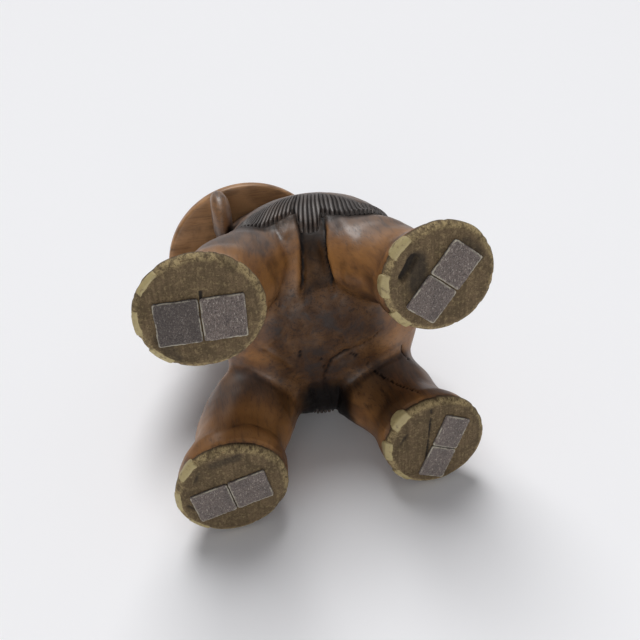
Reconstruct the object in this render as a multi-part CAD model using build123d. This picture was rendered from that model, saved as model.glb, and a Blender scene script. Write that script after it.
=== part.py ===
from build123d import *
import math
import os

# A carved elephant stool: one carved block, a turned round seat dowelled to its back,
# inlaid toenails, tusks and eyes, and felt pads under the soles.
# Millimetres. +X is the way the elephant faces, +Y its left side, +Z up.
# The shapes are laid out about the middle of the four feet, on the floor, and the finished
# pieces then move along X so that the origin is under the middle of the whole stool.

# ---------------------------------------------------------------- driving sizes

PAD_THICKNESS = 3.0
SEAT_UNDERSIDE = 361.0  # above the floor

SEAT_DIAMETER = 245.0
SEAT_THICKNESS = 25.0
SEAT_FORWARD = 32.0  # seat centre ahead of the middle of the feet
SEAT_TOP_ROUND = 10.0
SEAT_BOTTOM_ROUND = 5.0

DOWEL_DIAMETER = 12.0
DOWEL_LENGTH = 44.0
DOWEL_IN_SEAT = 15.0
DOWEL_CIRCLE_RADIUS = 45.0
DOWEL_COUNT = 3
DOWEL_SLACK = 0.15
DOWEL_CHAMFER = 1.0
DOWEL_END_GAP = 0.3  # glue at each end

FRONT_STANCE = 115.0  # foot centres ahead of and behind the middle of the feet
REAR_STANCE = 114.0
FRONT_HALF_TRACK = 105.0  # foot centres beside the middle plane
REAR_HALF_TRACK = 100.0
FRONT_LEAN = 77.0  # how far a leg's axis moves towards the body's middle over LEG_AXIS_HEIGHT
REAR_LEAN = 60.0
FRONT_SPREAD = 29.0  # how far it moves in towards the middle plane
REAR_SPREAD = 24.0
LEG_AXIS_HEIGHT = 180.0
FRONT_CURVE = 1.42  # above 1 the foot stands upright and the leg leans more, higher up
REAR_CURVE = 1.15
FRONT_FOOT = (60.0, 56.0)  # leg radii along X and along Y
FRONT_ANKLE = (48.0, 49.0)
FRONT_KNEE = (55.0, 49.0)
FRONT_THIGH = (54.0, 50.0)
REAR_FOOT = (58.0, 57.0)
REAR_ANKLE = (47.0, 44.0)
REAR_KNEE = (57.0, 45.0)
REAR_THIGH = (64.0, 52.0)
FOOT_RIM_HEIGHT = 9.0
ANKLE_HEIGHT = 42.0
KNEE_HEIGHT = 92.0
THIGH_HEIGHT = 150.0
SHOULDER_HEIGHT = 205.0  # the leg rounds over here, into the torso
SHOULDER_SHARE = 0.88  # of the thigh's radii
LEG_END_HEIGHT = 245.0  # buried in the torso
LEG_END_SHARE = 0.45
SOLE_CHAMFER = 4.0

TORSO_BACK_END = -158.0
TORSO_FRONT_END = 100.0
TORSO_HALF_WIDTH = 142.0
WAIST_HEIGHT = 178.0  # where the torso is widest
BELLY_HEIGHT = 88.0
BACK_HEIGHT = 348.0
TORSO_STATIONS = 8
TORSO_FULLNESS = 2.3  # exponent of the torso's outline, 2 is an ellipse
TORSO_END_SHARE = 0.99  # below 1 the barrel ends in small flats

SADDLE_LENGTH = 178.0
SADDLE_WIDTH = 172.0
SADDLE_FORWARD = 2.0
SADDLE_DEPTH = 78.0
SADDLE_FLARE = 8.0  # the saddle is this much wider at its foot, all round

HEAD_RADII = (58.0, 46.0, 66.0)
HEAD_FORWARD = 127.0
HEAD_BELOW_SEAT = 88.0  # head centre below the seat's underside
NECK_RADII = (62.0, 76.0, 76.0)
NECK_FORWARD = 62.0
TRUNK_ROOT_RADIUS = 35.0
TRUNK_TIP_RADIUS = 10.0
# the trunk's middle line, ahead of and above the head's centre
TRUNK_LINE = ((20, -6), (42, -34), (48, -68), (45, -92), (34, -112), (18, -118), (7, -107))
TRUNK_SECTIONS = 8
TRUNK_TAPER = 1.4  # above 1 it thins most near its root

EAR_FORWARD = 71.0  # the ear's middle, ahead of the middle of the feet
EAR_BELOW_SEAT = 58.0  # its middle, below the seat's underside
EAR_REACH = 131.0  # its tip, from the middle plane
EAR_HEIGHT = 84.0
EAR_THICKNESS = 26.0
EAR_HOLLOW_DEPTH = 8.0  # how deep its forward side is scooped out
EAR_HOLLOW_PLACE = 0.8  # of its reach
EAR_HOLLOW_WIDTH = 0.34  # of its reach
EAR_HOLLOW_HEIGHT = 0.72  # of its height
# sections of the ear, as shares of its reach, thickness and height
EAR_SECTIONS = (
    (0.3, 0.45, 0.62),
    (0.5, 0.5, 0.76),
    (0.66, 0.86, 0.96),
    (0.82, 1.0, 0.98),
    (0.94, 0.78, 0.72),
    (1.0, 0.28, 0.25),
)

TUSK_LENGTH = 34.0  # the part that shows
TUSK_RADIUS = 6.5
TUSK_TIP_RADIUS = 2.5
TUSK_PEG_RADIUS = 4.5
TUSK_PEG_LENGTH = 14.0
TUSK_SHEATH_WALL = 3.5
TUSK_MOUTH = (35.0, 35.0, -34.0)  # where it leaves its sheath, from the head's centre
TUSK_AIM = (0.86, 0.2, -0.47)
TUSK_RISE = 0.2  # the tip lies this share of the length above the line of its root
TUSK_REACH = 0.93  # and this share of the length along that line
TUSK_TIP_BEND = 0.9
TUSK_SECTIONS = 5
TUSK_TAPER = 1.3
EYE_RADIUS = 5.0
EYE_PROUD = 2.5
EYE_PEG_LENGTH = 7.0
EYE_DOME = 0.6  # its rim is cut back by this share of EYE_PROUD
EYE_TURN = 56.0  # degrees round the head from straight ahead
EYE_CLIMB = 18.0  # degrees above the head's centre
INLAY_SLACK = 0.15

NAIL_WIDTH = 25.0
NAIL_HEIGHT = 17.0
NAIL_DEPTH = 7.0
NAIL_PROUD = 0.8
NAIL_SPREAD = 43.0  # degrees from one nail to the next
NAILS_PER_FOOT = 3

PAD_LENGTH = 40.0
PAD_GAP = 1.0
PAD_CORNER = 2.0

TAIL_ROOT_RADIUS = 9.0
TAIL_TIP_RADIUS = 5.0
TAIL_LINE = ((16, 62), (1, 40), (-2, 6), (6, -32))  # from the back of the torso at its waist
TAIL_SECTIONS = 5

# a rod's rounded end: how far past its last section, and how wide, both as shares of that radius
END_ROUNDING = ((0.55, 0.82), (0.9, 0.4))

# how the pair of felt pads lies on each sole: turn in degrees, shift along X and Y, pad width
PAD_LAYOUT = {
    "front_left": (2.0, 1.0, -5.0, 43.0),
    "front_right": (-11.0, 2.0, -4.0, 37.0),
    "rear_left": (-52.0, -2.0, -3.0, 37.0),
    "rear_right": (-67.0, -8.0, -6.0, 31.0),
}

# ---------------------------------------------------------------- derived places

SOLE = PAD_THICKNESS
HEAD_CENTRE = Vector(HEAD_FORWARD, 0, SEAT_UNDERSIDE - HEAD_BELOW_SEAT)
FRONT = {
    "end": 1,
    "stance": FRONT_STANCE,
    "half_track": FRONT_HALF_TRACK,
    "lean": FRONT_LEAN,
    "spread": FRONT_SPREAD,
    "curve": FRONT_CURVE,
    "foot": FRONT_FOOT,
    "ankle": FRONT_ANKLE,
    "knee": FRONT_KNEE,
    "thigh": FRONT_THIGH,
}
REAR = {
    "end": -1,
    "stance": REAR_STANCE,
    "half_track": REAR_HALF_TRACK,
    "lean": REAR_LEAN,
    "spread": REAR_SPREAD,
    "curve": REAR_CURVE,
    "foot": REAR_FOOT,
    "ankle": REAR_ANKLE,
    "knee": REAR_KNEE,
    "thigh": REAR_THIGH,
}
LEGS = {
    "front_left": (FRONT, 1),
    "front_right": (FRONT, -1),
    "rear_left": (REAR, 1),
    "rear_right": (REAR, -1),
}


# ---------------------------------------------------------------- general shapes

def ellipsoid(centre, radii):
    return Pos(*centre) * scale(Sphere(1.0), by=radii)


def tapered_rod(path, radii):
    """A round rod along a smooth curve, thick to thin, with a rounded end."""
    across = Vector(0, 1, 0)
    last = len(radii) - 1
    sections = []
    for index, radius in enumerate(radii):
        place = path @ (index / last)
        along = path % (index / last)
        flat = across - along * across.dot(along)
        sections.append(Plane(origin=place, x_dir=flat, z_dir=along) * Circle(radius))
    end = Plane(origin=place, x_dir=flat, z_dir=along)
    for reach, share in END_ROUNDING:
        sections.append(end.offset(radius * reach) * Circle(radius * share))
    return loft(sections)


# ---------------------------------------------------------------- legs and feet

def leg_centre(leg, side, height):
    share = max(height - SOLE, 0.0) / LEG_AXIS_HEIGHT
    x = leg["end"] * (leg["stance"] - leg["lean"] * share ** leg["curve"])
    y = side * (leg["half_track"] - leg["spread"] * share)
    return Vector(x, y, height)


def leg_solid(leg, side, proud=0.0):
    """A leaning leg, lofted through level ellipses from the sole to its buried end."""
    thigh_x, thigh_y = leg["thigh"]
    rows = [
        (SOLE, leg["foot"]),
        (SOLE + FOOT_RIM_HEIGHT, leg["foot"]),
        (ANKLE_HEIGHT, leg["ankle"]),
        (KNEE_HEIGHT, leg["knee"]),
        (THIGH_HEIGHT, leg["thigh"]),
        (SHOULDER_HEIGHT, (thigh_x * SHOULDER_SHARE, thigh_y * SHOULDER_SHARE)),
        (LEG_END_HEIGHT, (thigh_x * LEG_END_SHARE, thigh_y * LEG_END_SHARE)),
    ]
    sections = []
    for height, (radius_x, radius_y) in rows:
        centre = leg_centre(leg, side, height)
        sections.append(Pos(*centre) * Ellipse(radius_x + proud, radius_y + proud))
    solid = loft(sections)
    sole_edge = solid.faces().sort_by(Axis.Z)[0].edges()
    return chamfer(sole_edge, SOLE_CHAMFER)


def nail_plane(leg, side, turn):
    """The plane that lies on the foot at a nail: X along the rim, Y up the foot, Z outwards."""
    low = leg_centre(leg, side, SOLE)
    high = leg_centre(leg, side, ANKLE_HEIGHT)
    cos_turn = math.cos(math.radians(turn))
    sin_turn = math.sin(math.radians(turn))
    rim = low + Vector(leg["foot"][0] * cos_turn, leg["foot"][1] * sin_turn, 0)
    above = high + Vector(leg["ankle"][0] * cos_turn, leg["ankle"][1] * sin_turn, 0)
    along = Vector(-sin_turn, cos_turn, 0)
    outward = along.cross((above - rim).normalized())
    return Plane(origin=rim, x_dir=along, z_dir=outward)


def nail_prism(plane, slack=0.0):
    """A round-topped slip that runs from the pocket's floor out past the foot's surface."""
    half = NAIL_WIDTH / 2 + slack
    shoulder = NAIL_HEIGHT - NAIL_WIDTH / 2
    foot_end = -NAIL_HEIGHT / 2
    sides = Polyline((-half, shoulder), (-half, foot_end), (half, foot_end), (half, shoulder))
    crown = ThreePointArc((half, shoulder), (0, shoulder + half), (-half, shoulder))
    profile = make_face(Wire([*sides.edges(), crown]))
    reach = NAIL_DEPTH * 3
    floor = plane.offset(-NAIL_DEPTH)
    return extrude(floor * profile, reach)


def nail_turns():
    first = -NAIL_SPREAD * (NAILS_PER_FOOT - 1) / 2
    return [first + NAIL_SPREAD * index for index in range(NAILS_PER_FOOT)]


# ---------------------------------------------------------------- torso and saddle

def torso_section(x, half_width, bottom, top):
    plane = Plane(origin=(x, 0, WAIST_HEIGHT), x_dir=(0, 1, 0), z_dir=(1, 0, 0))
    back = EllipticalCenterArc((0, 0), half_width, top - WAIST_HEIGHT, 0, arc_size=180)
    belly = EllipticalCenterArc((0, 0), half_width, WAIST_HEIGHT - bottom, 180, arc_size=180)
    return plane * make_face(Wire([back, belly]))


def torso_solid():
    """The barrel, lofted from rump to chest through sections that are deeper above the waist."""
    middle = (TORSO_BACK_END + TORSO_FRONT_END) / 2
    half_length = (TORSO_FRONT_END - TORSO_BACK_END) / 2
    sections = []
    for index in range(TORSO_STATIONS + 1):
        share = -math.cos(math.pi * index / TORSO_STATIONS) * TORSO_END_SHARE
        width = (1 - abs(share) ** TORSO_FULLNESS) ** (1 / TORSO_FULLNESS)
        bottom = WAIST_HEIGHT - (WAIST_HEIGHT - BELLY_HEIGHT) * width
        top = WAIST_HEIGHT + (BACK_HEIGHT - WAIST_HEIGHT) * width
        place = middle + half_length * share
        sections.append(torso_section(place, TORSO_HALF_WIDTH * width, bottom, top))
    return loft(sections)


def saddle_solid():
    """The oval block on the back that the seat sits on, wider towards its foot."""
    foot = Pos(SADDLE_FORWARD, 0, SEAT_UNDERSIDE - SADDLE_DEPTH) * Ellipse(
        SADDLE_LENGTH / 2 + SADDLE_FLARE, SADDLE_WIDTH / 2 + SADDLE_FLARE
    )
    top = Pos(SADDLE_FORWARD, 0, SEAT_UNDERSIDE) * Ellipse(SADDLE_LENGTH / 2, SADDLE_WIDTH / 2)
    return loft([foot, top])


# ---------------------------------------------------------------- head

def trunk_solid():
    """The trunk hangs from the face and rolls in under itself."""
    points = [HEAD_CENTRE + Vector(forward, 0, rise) for forward, rise in TRUNK_LINE]
    radii = []
    for index in range(TRUNK_SECTIONS):
        share = 1 - index / (TRUNK_SECTIONS - 1)
        radii.append(TRUNK_TIP_RADIUS + (TRUNK_ROOT_RADIUS - TRUNK_TIP_RADIUS) * share ** TRUNK_TAPER)
    return tapered_rod(Spline(*points), radii)


def ear_solid(side):
    """A thick flap that flares sideways from the neck, its forward side scooped out."""
    z = SEAT_UNDERSIDE - EAR_BELOW_SEAT
    sections = []
    for reach, thick, tall in EAR_SECTIONS:
        place = Plane(origin=(EAR_FORWARD, side * EAR_REACH * reach, z), x_dir=(1, 0, 0), z_dir=(0, side, 0))
        sections.append(place * Ellipse(EAR_THICKNESS / 2 * thick, EAR_HEIGHT / 2 * tall))
    flap = loft(sections)
    hollow_x = EAR_FORWARD + EAR_THICKNESS - EAR_HOLLOW_DEPTH
    hollow_y = side * EAR_REACH * EAR_HOLLOW_PLACE
    half_width = EAR_REACH * EAR_HOLLOW_WIDTH / 2
    half_height = EAR_HEIGHT * EAR_HOLLOW_HEIGHT / 2
    return flap - ellipsoid((hollow_x, hollow_y, z), (EAR_THICKNESS / 2, half_width, half_height))


def tusk_plane(side):
    """Where a tusk leaves its sheath: Z points along the tusk."""
    forward, across, rise = TUSK_MOUTH
    aim_forward, aim_across, aim_rise = TUSK_AIM
    mouth = HEAD_CENTRE + Vector(forward, side * across, rise)
    aim = Vector(aim_forward, side * aim_across, aim_rise).normalized()
    return Plane(origin=mouth, x_dir=(0, 1, 0), z_dir=aim)


def tusk_sheath(side):
    plane = tusk_plane(side)
    depth = TUSK_PEG_LENGTH * 2
    return extrude(plane.offset(-depth) * Circle(TUSK_RADIUS + TUSK_SHEATH_WALL), depth)


def tusk_solid(side):
    """A tapered tusk that curves up, with a peg that fits its socket."""
    plane = tusk_plane(side)
    rise = Vector(0, 0, 1)
    root = plane.origin
    middle = root + plane.z_dir * (TUSK_LENGTH / 2)
    end = root + plane.z_dir * (TUSK_LENGTH * TUSK_REACH) + rise * (TUSK_LENGTH * TUSK_RISE)
    path = Spline(root, middle, end, tangents=[plane.z_dir, plane.z_dir + rise * TUSK_TIP_BEND])
    radii = []
    for index in range(TUSK_SECTIONS):
        share = index / (TUSK_SECTIONS - 1)
        radii.append(TUSK_RADIUS + (TUSK_TIP_RADIUS - TUSK_RADIUS) * share ** TUSK_TAPER)
    horn = tapered_rod(path, radii)
    peg = extrude(plane * Circle(TUSK_PEG_RADIUS), -TUSK_PEG_LENGTH)
    return horn + peg


def tusk_socket(side):
    return extrude(tusk_plane(side) * Circle(TUSK_PEG_RADIUS + INLAY_SLACK), -TUSK_PEG_LENGTH)


def eye_plane(side):
    """On the skin of the head, high on its cheek: Z points out of the skin."""
    turn = math.radians(EYE_TURN)
    rise = math.radians(EYE_CLIMB)
    flat = math.cos(rise)
    reach = Vector(
        HEAD_RADII[0] * flat * math.cos(turn),
        side * HEAD_RADII[1] * flat * math.sin(turn),
        HEAD_RADII[2] * math.sin(rise),
    )
    skin = Vector(*(value / radius ** 2 for value, radius in zip(reach, HEAD_RADII)))
    return Plane(origin=HEAD_CENTRE + reach, x_dir=(0, 0, 1), z_dir=skin.normalized())


def eye_solid(side):
    """A bead with a domed face on a straight peg."""
    peg = extrude(eye_plane(side).offset(-EYE_PEG_LENGTH) * Circle(EYE_RADIUS), EYE_PEG_LENGTH + EYE_PROUD)
    rim = peg.faces().sort_by(eye_axis(side))[-1].edges()
    return chamfer(rim, EYE_PROUD * EYE_DOME, EYE_PROUD)


def eye_axis(side):
    plane = eye_plane(side)
    return Axis(plane.origin, plane.z_dir)


def eye_socket(side):
    floor = eye_plane(side).offset(-EYE_PEG_LENGTH)
    return extrude(floor * Circle(EYE_RADIUS + INLAY_SLACK), EYE_PEG_LENGTH * 2)


# ---------------------------------------------------------------- tail

def tail_solid():
    """A short tail that hangs against the rump."""
    points = [(TORSO_BACK_END + forward, 0, WAIST_HEIGHT + rise) for forward, rise in TAIL_LINE]
    step = (TAIL_TIP_RADIUS - TAIL_ROOT_RADIUS) / (TAIL_SECTIONS - 1)
    radii = [TAIL_ROOT_RADIUS + step * index for index in range(TAIL_SECTIONS)]
    return tapered_rod(Spline(*points), radii)


# ---------------------------------------------------------------- seat and its dowels

def dowel_places():
    step = 360 / DOWEL_COUNT
    places = []
    for index in range(DOWEL_COUNT):
        turn = math.radians(step * index)
        x = (SEAT_FORWARD + SADDLE_FORWARD) / 2 + DOWEL_CIRCLE_RADIUS * math.cos(turn)
        places.append((x, DOWEL_CIRCLE_RADIUS * math.sin(turn)))
    return places


def dowel_hole(x, y, low, high):
    return extrude(Pos(x, y, low) * Circle(DOWEL_DIAMETER / 2 + DOWEL_SLACK), high - low)


def seat_solid():
    disc = extrude(Pos(SEAT_FORWARD, 0, SEAT_UNDERSIDE) * Circle(SEAT_DIAMETER / 2), SEAT_THICKNESS)
    rims = disc.faces().sort_by(Axis.Z)
    disc = fillet(rims[-1].edges(), SEAT_TOP_ROUND)
    disc = fillet(disc.faces().sort_by(Axis.Z)[0].edges(), SEAT_BOTTOM_ROUND)
    for x, y in dowel_places():
        disc -= dowel_hole(x, y, SEAT_UNDERSIDE, SEAT_UNDERSIDE + DOWEL_IN_SEAT + DOWEL_END_GAP)
    return disc


def dowel_foot():
    return SEAT_UNDERSIDE + DOWEL_IN_SEAT - DOWEL_LENGTH


def dowel_solids():
    pegs = []
    for x, y in dowel_places():
        peg = extrude(Pos(x, y, dowel_foot()) * Circle(DOWEL_DIAMETER / 2), DOWEL_LENGTH)
        rims = peg.edges().filter_by(GeomType.CIRCLE)
        pegs.append(chamfer(rims, DOWEL_CHAMFER))
    return pegs


# ---------------------------------------------------------------- the carved block

def body_solid():
    body = torso_solid() + saddle_solid()
    body += ellipsoid((NECK_FORWARD, 0, HEAD_CENTRE.Z), NECK_RADII)
    body += ellipsoid(HEAD_CENTRE, HEAD_RADII)
    body += trunk_solid()
    body += tail_solid()
    for side in (1, -1):
        body += ear_solid(side)
        body += tusk_sheath(side)
    for leg, side in LEGS.values():
        body += leg_solid(leg, side)
    for leg, side in LEGS.values():
        for turn in nail_turns():
            body -= nail_prism(nail_plane(leg, side, turn), INLAY_SLACK)
    for side in (1, -1):
        body -= tusk_socket(side)
        body -= eye_socket(side)
    for x, y in dowel_places():
        body -= dowel_hole(x, y, dowel_foot() - DOWEL_END_GAP, SEAT_UNDERSIDE)
    return body


# ---------------------------------------------------------------- felt pads

def pad_solids(leg, side, layout):
    turn, shift_x, shift_y, width = layout
    foot = leg_centre(leg, side, 0)
    place = Pos(foot.X + shift_x, foot.Y + shift_y, 0) * Rot(0, 0, turn)
    pads = []
    for end in (1, -1):
        middle = end * (PAD_LENGTH + PAD_GAP) / 2
        outline = RectangleRounded(PAD_LENGTH, width, PAD_CORNER)
        pads.append(extrude(place * Pos(middle, 0, 0) * outline, PAD_THICKNESS))
    return pads


# ---------------------------------------------------------------- all the pieces

def build():
    nodes = {"body": body_solid(), "seat": seat_solid()}
    nodes["seat_dowels"] = Part() + dowel_solids()
    for name, (leg, side) in LEGS.items():
        skin = leg_solid(leg, side, NAIL_PROUD)
        for number, turn in enumerate(nail_turns(), start=1):
            nodes[f"toenail_{name}_{number}"] = nail_prism(nail_plane(leg, side, turn)) & skin
        for letter, pad in zip("ab", pad_solids(leg, side, PAD_LAYOUT[name])):
            nodes[f"felt_pad_{name}_{letter}"] = pad
    for word, side in (("left", 1), ("right", -1)):
        nodes[f"tusk_{word}"] = tusk_solid(side)
        nodes[f"eye_{word}"] = eye_solid(side)
    return nodes


def main():
    os.makedirs("parts", exist_ok=True)
    nodes = build()
    box = Compound(children=[Part(piece.wrapped) for piece in nodes.values()]).bounding_box()
    middle = Pos(-box.center().X, -box.center().Y, 0)
    for name, piece in nodes.items():
        export_step(middle * piece, f"parts/{name}.step")
        print(name, len(piece.solids()), round(piece.volume / 1000, 1))
    print("moved along X by", round(-box.center().X, 3))


main()
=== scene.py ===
import math

import bmesh
import bpy
import numpy as np
from mathutils import Matrix, Vector, noise
from mathutils.bvhtree import BVHTree


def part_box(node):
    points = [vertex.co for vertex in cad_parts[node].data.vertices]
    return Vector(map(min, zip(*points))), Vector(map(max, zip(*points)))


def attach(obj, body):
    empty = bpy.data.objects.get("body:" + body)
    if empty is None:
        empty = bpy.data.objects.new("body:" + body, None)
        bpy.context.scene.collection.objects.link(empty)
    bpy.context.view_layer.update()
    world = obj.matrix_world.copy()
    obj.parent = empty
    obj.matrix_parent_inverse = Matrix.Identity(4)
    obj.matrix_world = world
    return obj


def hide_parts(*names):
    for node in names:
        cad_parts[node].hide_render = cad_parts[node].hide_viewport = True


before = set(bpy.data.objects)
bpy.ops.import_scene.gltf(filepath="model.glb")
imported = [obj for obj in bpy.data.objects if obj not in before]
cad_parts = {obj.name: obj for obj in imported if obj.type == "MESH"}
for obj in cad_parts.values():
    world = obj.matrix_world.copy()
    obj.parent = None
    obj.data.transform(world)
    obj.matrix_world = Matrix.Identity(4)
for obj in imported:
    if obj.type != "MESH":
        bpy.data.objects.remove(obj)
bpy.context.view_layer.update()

bl_info = {
    "name": "Carved elephant stool",
    "version": (1, 0, 0),
    "blender": (4, 5, 0),
    "location": "View3D > Sidebar > Stool",
    "description": "Dresses the solids of a carved elephant stool with carving, end grain, felt and finishes",
    "category": "Object",
}

MM = 0.001
# vertices nearer than this are one
SAME_POINT = 1e-5
SAME_CAD_POINT = 1e-6
SOLE_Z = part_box("felt_pad_front_left_a")[1][2]
SEAT_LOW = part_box("seat")[0][2]
SEAT_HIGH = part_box("seat")[1][2]
FEET = ("front_left", "front_right", "rear_left", "rear_right")
NAILS = [f"toenail_{foot}_{number}" for foot in FEET for number in (1, 2, 3)]
PADS = [f"felt_pad_{foot}_{letter}" for foot in FEET for letter in "ab"]
# middle of each sole and its radii, metres
SOLES = {
    "front_left": (0.1023, 0.105, 0.060, 0.056),
    "front_right": (0.1023, -0.105, 0.060, 0.056),
    "rear_left": (-0.1267, 0.100, 0.058, 0.057),
    "rear_right": (-0.1267, -0.100, 0.058, 0.057),
}

# Checks and knot holes of each sole: from, to (along X and Y), width, depth, darkness. Millimetres.
CRACKS = {
    "front_left": [((78, 60), (88, 52), 3, 0.8, 0.4), ((142, 88), (132, 66), 18, 0.3, 0.45),
                   ((101, 118), (100, 126), 3, 0.8, 0.9)],
    "front_right": [((140, -84), (133, -72), 4, 1.0, 0.5), ((118, -66), (92, -62), 13, 0.3, 0.55),
                    ((150, -112), (143, -120), 4, 1.2, 0.8)],
    "rear_left": [((-87, 108), (-99, 126), 11, 6.0, 0.9), ((-92, 86), (-96, 76), 3, 1.0, 0.5),
                  ((-102, 122), (-104, 96), 28, 0.3, 0.7), ((-150, 134), (-166, 118), 16, 0.2, 0.5)],
    "rear_right": [((-120, -53), (-112, -150), 2.6, 1.6, 0.9), ((-84, -92), (-92, -80), 3, 1.2, 0.6)],
}

# Cut lines of the carving, each laid on the nearest place of the block: points, full width, depth (a ridge
# where it is negative), darkness of the stain that gathers in it, and whether the other side has it too.
# Millimetres.
TOOL_LINES = [
    # the creases on both sides of the bare strip of flank between the legs
    (((-27, 140, 186), (-20, 128, 150), (-16, 112, 124), (-11, 84, 108), (-6, 60, 100)), 9, 4.6, 1.0, True),
    (((-51, 139, 168), (-43, 122, 128), (-39, 106, 110), (-39, 85, 101), (-41, 60, 96)), 9, 4.8, 1.0, True),
    # the crease that runs round the bulging knee of the rear right leg, and a side branch
    (((-66, -13, 94), (-49, -15, 90), (-33, -24, 91), (-25, -45, 95), (-27, -79, 104), (-31, -104, 118)),
     7, 2.4, 0.9, False),
    (((-66, -13, 94), (-82, -6, 97), (-97, 2, 100)), 5, 1.6, 0.7, False),
    # the front legs' inner edges against the belly
    (((44, 2, 108), (33, -7, 106), (20, -17, 100), (12, -30, 98)), 8, -1.6, 0.0, True),
    # a line cut round the front right leg's ankle, a check up the rear right leg, and two dents in the belly
    (((100, -46, 28), (84, -53, 36), (61, -63, 39), (48, -84, 42), (44, -110, 44)), 5, 1.3, 0.45, False),
    (((-49, -15, 90), (-66, -26, 88), (-84, -42, 80), (-96, -52, 66), (-108, -52, 44), (-116, -47, 18)),
     3, 1.5, 1.0, False),
    (((-20, -13, 90), (-22, -26, 90), (-26, -40, 92)), 3, 1.0, 0.9, False),
    (((1, -2, 92), (4, -9, 92), (4, -15, 92)), 4, 1.8, 1.0, False),
    # the dent of a gouge on the strip
    (((-22, 106, 122), (-29, 101, 118), (-35, 98, 114)), 8, 1.6, 0.4, False),
    # shoulder edges of the front legs
    (((-16, 139, 176), (-8, 129, 150), (3, 117, 130)), 12, -1.2, 0.0, True),
    (((4, 134, 170), (8, 127, 150), (6, 117, 132)), 9, 1.4, 0.35, True),
    # the tail stands proud of the rump; its edges, and the tuft at its end
    (((-170, 0, 234), (-178, 0, 212), (-180, 0, 190), (-177, 0, 172), (-172, 0, 154), (-164, 0, 138)),
     15, -2.8, 0.0, False),
    (((-166, 10, 226), (-169, 10, 208), (-169, 9.5, 190), (-169, 9, 172), (-167, 6, 160), (-163, 3, 140)),
     6, 1.6, 0.8, True),
    (((-178, 4, 178), (-176, 3.5, 168), (-170, 2, 158)), 2.4, 0.9, 0.8, True),
    # checks and knife marks in the legs and the belly
    (((-126, -31, 112), (-128, -40, 104), (-130, -49, 96)), 5, 2.0, 0.9, False),
    (((-70, 60, 98), (-84, 70, 84), (-92, 78, 66)), 2.4, 0.8, 0.7, False),
    (((-103, 40, 104), (-104, 30, 105)), 4, 1.4, 0.9, False),
    (((5, -13, 93), (6, -20, 94)), 3, 1.2, 0.9, False),
    (((60, -52, 96), (78, -66, 70), (84, -72, 54)), 2.2, 0.6, 0.5, False),
    (((-58, -60, 100), (-70, -74, 84), (-80, -84, 60)), 2.4, 0.8, 0.6, False),
    (((40, 62, 104), (56, 76, 84), (64, 84, 62)), 2.2, 0.6, 0.5, False),
]


# ---------------------------------------------------------------- colours, sizes

def hex_colour(code):
    """An sRGB hex value as linear red, green, blue, alpha."""
    values = [int(code[i:i + 2], 16) / 255 for i in (1, 3, 5)]
    return (*[v / 12.92 if v <= 0.04045 else ((v + 0.055) / 1.055) ** 2.4 for v in values], 1.0)


def colour_property(name, description, code):
    return bpy.props.FloatVectorProperty(
        name=name, description=description, size=4, min=0, max=1, subtype="COLOR", default=hex_colour(code)
    )


def length_property(name, description, default):
    return bpy.props.FloatProperty(name=name, description=description, default=default, min=0, unit="LENGTH")


class StoolSizes(bpy.types.PropertyGroup):
    block_voxel: length_property("Block detail", "Mesh size of the carved block", 0.0028)
    fringe_pitch: length_property("Fringe pitch", "From one strand of the fringe to the next", 0.0050)
    fringe_depth: length_property("Fringe cut", "Depth of the cuts between the strands", 0.0024)
    blanket_height: length_property("Blanket height", "How far the blanket stands off the flank", 0.0014)
    seat_round: length_property("Seat edge round", "Radius of the round on the seat's top edge", 0.010)


class StoolColours(bpy.types.PropertyGroup):
    wood_light: colour_property("Wood, worn", "Stained wood where it is rubbed", "#9C6C3A")
    wood_mid: colour_property("Wood", "Stained wood", "#654226")
    wood_dark: colour_property("Wood, dark grain", "Stained wood in its dark grain", "#38251A")
    # grey stain, and a painted grey sheen, on the fringe and on the sides that face the window lamp
    sheen_and_stain_grey: colour_property("Grey stain and painted sheen", "Grey stain, and painted sheen, on the fringe and the upper sides", "#605C5A")
    # on the seat's underside this pale colour is painted light
    seat_light: colour_property("Seat, worn", "Stained seat board where it is rubbed, and painted light on its underside", "#B5875A")
    seat_mid: colour_property("Seat", "Stained seat board", "#93693F")
    seat_dark: colour_property("Seat, dark grain", "Stained seat board in its dark grain", "#54391F")
    # this colour is also painted shade: where the block is shut in, under the hem, and where its flank lies
    # on the floor
    stain_and_shade: colour_property("Hollows", "Stain in the hollows, and painted shade", "#130F0E")
    sole_light: colour_property("Sole, pale", "Bare end grain at the rim", "#A8946A")
    sole_mid: colour_property("Sole", "Bare end grain", "#68563E")
    sole_dark: colour_property("Sole, dark", "Dark specks and rings of the end grain", "#41341F")
    inlay: colour_property("Inlay", "Pale toenails and tusks", "#AB9C6E")
    felt: colour_property("Felt", "Felt of the foot pads", "#857870")


# ---------------------------------------------------------------- mesh helpers

def link(name, mesh):
    obj = bpy.data.objects.new(name, mesh)
    bpy.context.scene.collection.objects.link(obj)
    return obj


def mesh_from(name, bm):
    mesh = bpy.data.meshes.new(name)
    bm.to_mesh(mesh)
    bm.free()
    return mesh


def smoothed(mesh):
    for polygon in mesh.polygons:
        polygon.use_smooth = True


def object_from(name, bm):
    bmesh.ops.recalc_face_normals(bm, faces=bm.faces)
    mesh = mesh_from(name, bm)
    smoothed(mesh)
    return link(name, mesh)


def solid_of(node):
    """The solid of a node of the frame, its doubled corners merged, to work on."""
    bm = bmesh.new()
    bm.from_mesh(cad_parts[node].data)
    bmesh.ops.remove_doubles(bm, verts=bm.verts, dist=SAME_CAD_POINT)
    return bm


def piece(obj, nodes, material):
    """Gives a finished piece its finish, hides the solids it stands for and hangs it under the root."""
    obj.data.materials.clear()
    obj.data.materials.append(material)
    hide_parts(*nodes)
    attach(obj, "root")
    return obj


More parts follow.
